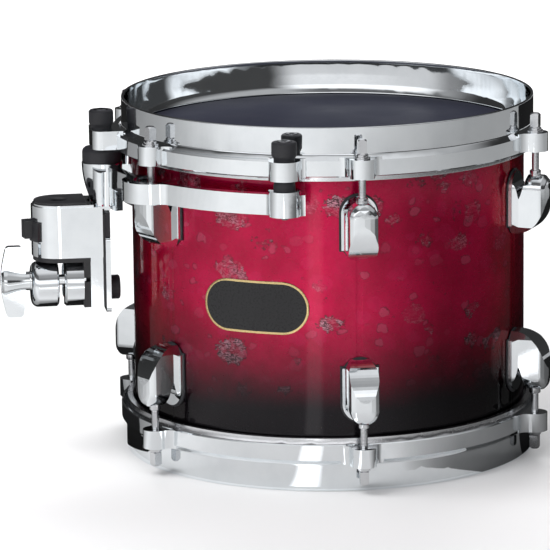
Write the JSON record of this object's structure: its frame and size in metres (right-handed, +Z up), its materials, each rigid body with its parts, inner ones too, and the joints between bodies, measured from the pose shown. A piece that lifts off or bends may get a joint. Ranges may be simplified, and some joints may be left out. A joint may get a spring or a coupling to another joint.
{
  "type": "tom tom drum",
  "caption": "Rack tom drum: lacquered wooden shell with two heads, cast hoops, bullet lugs, tension rods, and a rubber-isolated hoop suspension arch with a rod clamp.",
  "frame": {"origin": "drum axis at the plane of the bottom hoop's edge, on which the drum rests", "axes": "+Z up along the drum's axis, -X through the middle of the mount and its rod clamp, -Y through a lug at the front"},
  "size_m": [0.4208, 0.3624, 0.277],
  "materials": {
    "lacquered_shell": "high-gloss lacquer, crimson fading to black, lens-shaped bark figure",
    "chrome_casting": "mirror chrome plated casting",
    "plated_steel": "bright plated steel",
    "dark_steel": "dark zinc plated steel",
    "batter_film": "smooth dark drum film with a slight sheen",
    "resonant_film": "clear drum film",
    "flesh_hoop": "rolled aluminium",
    "black_rubber": "satin moulded rubber",
    "black_plastic": "satin nylon",
    "badge": "black enamel with a gold border"
  },
  "bodies": {
    "drum": {"shell": "lacquered_shell", "vent_grommet": "plated_steel", "badge_plate": "badge", "top_hoop": "chrome_casting", "bottom_hoop": "chrome_casting", "batter_film": "batter_film", "batter_flesh_hoop": "flesh_hoop", "resonant_film": "resonant_film", "resonant_flesh_hoop": "flesh_hoop", "top_lug_1": "chrome_casting", "top_lug_2": "chrome_casting", "top_lug_3": "chrome_casting", "top_lug_4": "chrome_casting", "top_lug_5": "chrome_casting", "top_lug_6": "chrome_casting", "bottom_lug_1": "chrome_casting", "bottom_lug_2": "chrome_casting", "bottom_lug_3": "chrome_casting", "bottom_lug_4": "chrome_casting", "bottom_lug_5": "chrome_casting", "bottom_lug_6": "chrome_casting", "lug_gaskets": "black_rubber", "swivel_nuts": "plated_steel", "lug_screws": "dark_steel", "lug_screw_washers": "dark_steel", "rod_washers": "plated_steel", "mount_arch": "chrome_casting", "suspension_caps": "black_rubber", "suspension_sleeves": "black_rubber", "suspension_bolts": "dark_steel", "suspension_nuts": "plated_steel", "back_plate": "chrome_casting", "plate_bumper": "black_rubber", "plate_screws": "dark_steel", "clamp_body": "chrome_casting", "rod_bushing": "black_plastic", "memory_key": "black_plastic", "clamp_liner": "black_plastic", "fixed_jaw": "chrome_casting", "clamp_nut": "dark_steel"},
    "moving_jaw": {"moving_jaw": "chrome_casting"},
    "wing_bolt": {"wing_bolt": "chrome_casting"},
    "top_rod_1": {"top_rod_1": "plated_steel"},
    "top_rod_2": {"top_rod_2": "plated_steel"},
    "top_rod_3": {"top_rod_3": "plated_steel"},
    "top_rod_4": {"top_rod_4": "plated_steel"},
    "top_rod_5": {"top_rod_5": "plated_steel"},
    "top_rod_6": {"top_rod_6": "plated_steel"},
    "bottom_rod_1": {"bottom_rod_1": "plated_steel"},
    "bottom_rod_2": {"bottom_rod_2": "plated_steel"},
    "bottom_rod_3": {"bottom_rod_3": "plated_steel"},
    "bottom_rod_4": {"bottom_rod_4": "plated_steel"},
    "bottom_rod_5": {"bottom_rod_5": "plated_steel"},
    "bottom_rod_6": {"bottom_rod_6": "plated_steel"}
  },
  "joints": [
    {"name": "top_rod_1_turn", "type": "hinge", "parent": "drum", "child": "top_rod_1", "pos_m": [0, -0.17, 0.24], "axis": [0, 0, 1], "continuous": true},
    {"name": "top_rod_2_turn", "type": "hinge", "parent": "drum", "child": "top_rod_2", "pos_m": [0.14722, -0.085, 0.24], "axis": [0, 0, 1], "continuous": true},
    {"name": "top_rod_3_turn", "type": "hinge", "parent": "drum", "child": "top_rod_3", "pos_m": [0.14722, 0.085, 0.24], "axis": [0, 0, 1], "continuous": true},
    {"name": "top_rod_4_turn", "type": "hinge", "parent": "drum", "child": "top_rod_4", "pos_m": [0, 0.17, 0.24], "axis": [0, 0, 1], "continuous": true},
    {"name": "top_rod_5_turn", "type": "hinge", "parent": "drum", "child": "top_rod_5", "pos_m": [-0.14722, 0.085, 0.24], "axis": [0, 0, 1], "continuous": true},
    {"name": "top_rod_6_turn", "type": "hinge", "parent": "drum", "child": "top_rod_6", "pos_m": [-0.14722, -0.085, 0.24], "axis": [0, 0, 1], "continuous": true},
    {"name": "bottom_rod_1_turn", "type": "hinge", "parent": "drum", "child": "bottom_rod_1", "pos_m": [0, -0.17, 0.037], "axis": [0, 0, -1], "continuous": true},
    {"name": "bottom_rod_2_turn", "type": "hinge", "parent": "drum", "child": "bottom_rod_2", "pos_m": [0.14722, -0.085, 0.037], "axis": [0, 0, -1], "continuous": true},
    {"name": "bottom_rod_3_turn", "type": "hinge", "parent": "drum", "child": "bottom_rod_3", "pos_m": [0.14722, 0.085, 0.037], "axis": [0, 0, -1], "continuous": true},
    {"name": "bottom_rod_4_turn", "type": "hinge", "parent": "drum", "child": "bottom_rod_4", "pos_m": [0, 0.17, 0.037], "axis": [0, 0, -1], "continuous": true},
    {"name": "bottom_rod_5_turn", "type": "hinge", "parent": "drum", "child": "bottom_rod_5", "pos_m": [-0.14722, 0.085, 0.037], "axis": [0, 0, -1], "continuous": true},
    {"name": "bottom_rod_6_turn", "type": "hinge", "parent": "drum", "child": "bottom_rod_6", "pos_m": [-0.14722, -0.085, 0.037], "axis": [0, 0, -1], "continuous": true},
    {"name": "jaw_slide", "type": "slide", "parent": "drum", "child": "moving_jaw", "axis": [1, 0, 0], "range_m": [-0.0025, 0.00125]},
    {"name": "wing_bolt_turn", "type": "hinge", "parent": "moving_jaw", "child": "wing_bolt", "pos_m": [-0.235, -0.013, 0.1396], "axis": [1, 0, 0], "range_deg": [-720, 360]}
  ],
  "couplings": [
    {"joint": "wing_bolt_turn", "follows": "jaw_slide", "rad_per_m": 5026.5}
  ]
}
